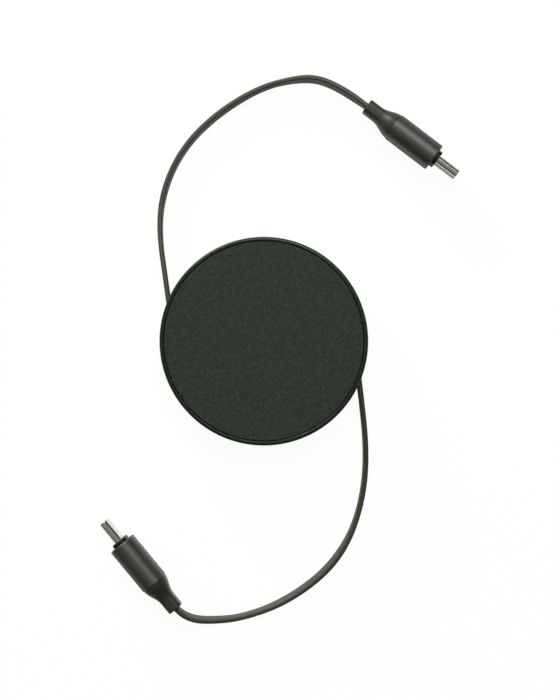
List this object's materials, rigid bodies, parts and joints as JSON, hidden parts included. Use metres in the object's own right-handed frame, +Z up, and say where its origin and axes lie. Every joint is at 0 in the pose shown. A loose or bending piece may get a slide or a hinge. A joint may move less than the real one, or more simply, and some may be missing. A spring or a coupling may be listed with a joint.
{
  "type": "retractable charging cable",
  "caption": "Flat round housing with a spring-driven reel; a flat charging cable leaves it on opposite sides, and each end carries a reversible oval charging plug.",
  "frame": {"origin": "centre of the housing's flat underside, on the surface that the part lies on", "axes": "+Z up along the reel's axis; +Y towards the end of the cable that is at the top of the picture, +X to its right"},
  "size_m": [0.0981, 0.1498, 0.0125],
  "materials": {
    "housing_plastic": "satin dark green-black moulded plastic",
    "inlay_plastic": "matt dark green with a fine speckled grain",
    "cable_jacket": "matt dark grey-green jacket",
    "boot_plastic": "matt dark grey-green, moulded on the cable",
    "barrel_plastic": "satin charcoal grey-green",
    "collar_plastic": "near black",
    "plug_metal": "bright nickel-plated steel",
    "contact_metal": "gold-plated contact strips",
    "circuit_board": "circuit board",
    "reel_plastic": "natural moulded plastic of the hidden reel",
    "steel": "plain steel"
  },
  "bodies": {
    "housing": {"bottom_shell": "housing_plastic", "top_shell": "housing_plastic", "top_inlay": "inlay_plastic", "centre_screw": "steel", "upper_cable": "cable_jacket", "upper_boot": "boot_plastic", "upper_barrel": "barrel_plastic", "upper_collar": "collar_plastic", "upper_plug_shell": "plug_metal", "upper_insulator": "collar_plastic", "upper_contacts": "contact_metal", "upper_paddle_card": "circuit_board", "lower_cable": "cable_jacket", "lower_boot": "boot_plastic", "lower_barrel": "barrel_plastic", "lower_collar": "collar_plastic", "lower_plug_shell": "plug_metal", "lower_insulator": "collar_plastic", "lower_contacts": "contact_metal", "lower_paddle_card": "circuit_board"},
    "reel": {"spool": "reel_plastic", "spool_plate": "reel_plastic", "wound_cable": "cable_jacket", "mainspring": "steel"},
    "ball": {"ratchet_ball": "steel"}
  },
  "joints": [
    {"name": "reel_spin", "type": "hinge", "parent": "housing", "child": "reel", "pos_m": [0, 0, 0.0053], "axis": [0, 0, 1], "range_deg": [-1080, 215], "deforming": ["mainspring"]},
    {"name": "ball_shift", "type": "slide", "parent": "housing", "child": "ball", "axis": [0.5, 0.866, 0], "range_m": [-0.0035, 0]}
  ]
}
